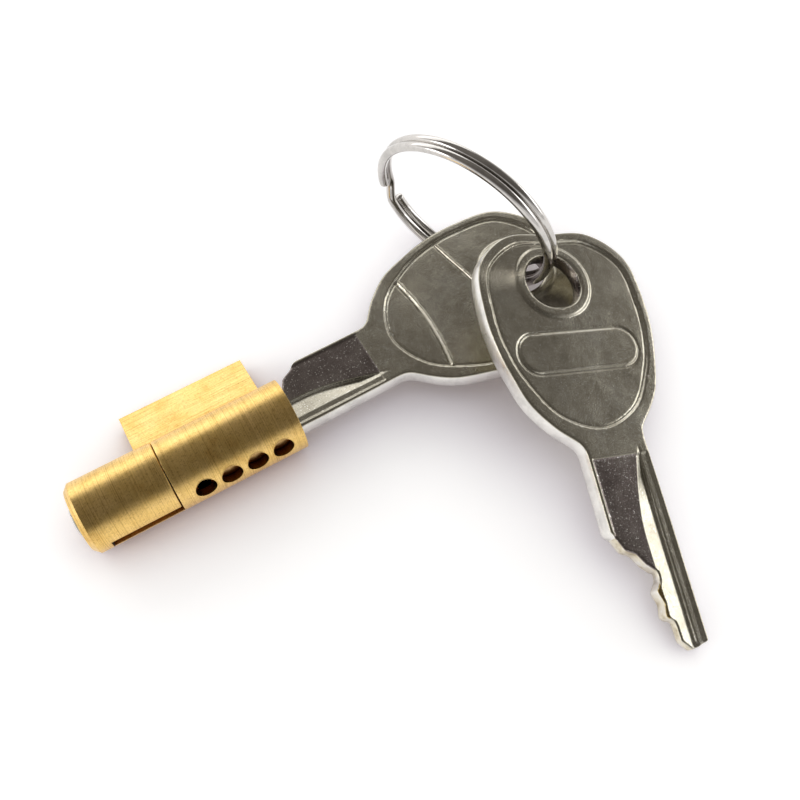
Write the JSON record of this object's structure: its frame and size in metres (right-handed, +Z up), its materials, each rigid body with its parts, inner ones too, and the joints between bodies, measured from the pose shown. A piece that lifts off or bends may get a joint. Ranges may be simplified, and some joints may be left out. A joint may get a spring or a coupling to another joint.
{
  "type": "pin tumbler cam lock",
  "caption": "Small barrel pin lock with a guide bar on its side and a turning tail, a key in its plug, and a spare key on a split ring.",
  "frame": {"origin": "centre of the bounding box's footprint, on the table", "axes": "+X along the barrel from its tail towards the key, +Z up from the table, +Y towards the guide bar's side"},
  "size_m": [0.0658, 0.0604, 0.0223],
  "materials": {
    "brass_body": "turned and brushed, uncoated",
    "brass_plug": "turned",
    "brass_pin": "turned",
    "spring_steel": "drawn wire",
    "steel_screw": "zinc plated",
    "nickel_key": "nickel-plated brass, satin",
    "ring_steel": "polished nickel plate"
  },
  "bodies": {
    "lock_body": {"housing": "brass_body", "spring_cover": "brass_body", "retaining_pin": "brass_pin", "retaining_spring": "spring_steel", "driver_spring_1": "spring_steel", "driver_spring_2": "spring_steel", "driver_spring_3": "spring_steel"},
    "plug": {"plug": "brass_plug", "tail_cam": "brass_body", "tail_washer": "steel_screw", "tail_screw": "steel_screw", "key_pin_1": "brass_pin", "key_pin_2": "brass_pin", "key_pin_3": "brass_pin"},
    "inserted_key": {"key_inserted": "nickel_key"},
    "key_ring": {"split_ring": "ring_steel"},
    "spare_key": {"key_spare": "nickel_key"},
    "driver_1": {"driver_pin_1": "brass_pin"},
    "driver_2": {"driver_pin_2": "brass_pin"},
    "driver_3": {"driver_pin_3": "brass_pin"}
  },
  "joints": [
    {"name": "plug_turn", "type": "hinge", "parent": "lock_body", "child": "plug", "pos_m": [-0.02256, 0.01143, 0.00405], "axis": [1, 0, 0], "range_deg": [-90, 17.5]},
    {"name": "key_slide", "type": "slide", "parent": "plug", "child": "inserted_key", "axis": [1, 0, 0], "range_m": [0, 0.011]},
    {"name": "ring_spin", "type": "hinge", "parent": "inserted_key", "child": "key_ring", "pos_m": [0.01832, 0.01995, 0.01122], "axis": [-0.8897, -0.4475, -0.0906], "continuous": true},
    {"name": "spare_key_swing", "type": "hinge", "parent": "inserted_key", "child": "spare_key", "pos_m": [0.01832, 0.01995, 0.01122], "axis": [-0.8897, -0.4475, -0.0906], "range_deg": [0, 70]},
    {"name": "driver_1_slide", "type": "slide", "parent": "lock_body", "child": "driver_1", "axis": [0, 0.9479, -0.3186], "range_m": [0, 0.0009], "stiffness_N_per_m": 150, "springref_m": -0.001, "deforming": ["driver_spring_1"]},
    {"name": "driver_2_slide", "type": "slide", "parent": "lock_body", "child": "driver_2", "axis": [0, 0.9479, -0.3186], "range_m": [0, 0.0009], "stiffness_N_per_m": 150, "springref_m": -0.001, "deforming": ["driver_spring_2"]},
    {"name": "driver_3_slide", "type": "slide", "parent": "lock_body", "child": "driver_3", "axis": [0, 0.9479, -0.3186], "range_m": [0, 0.0009], "stiffness_N_per_m": 150, "springref_m": -0.001, "deforming": ["driver_spring_3"]}
  ]
}
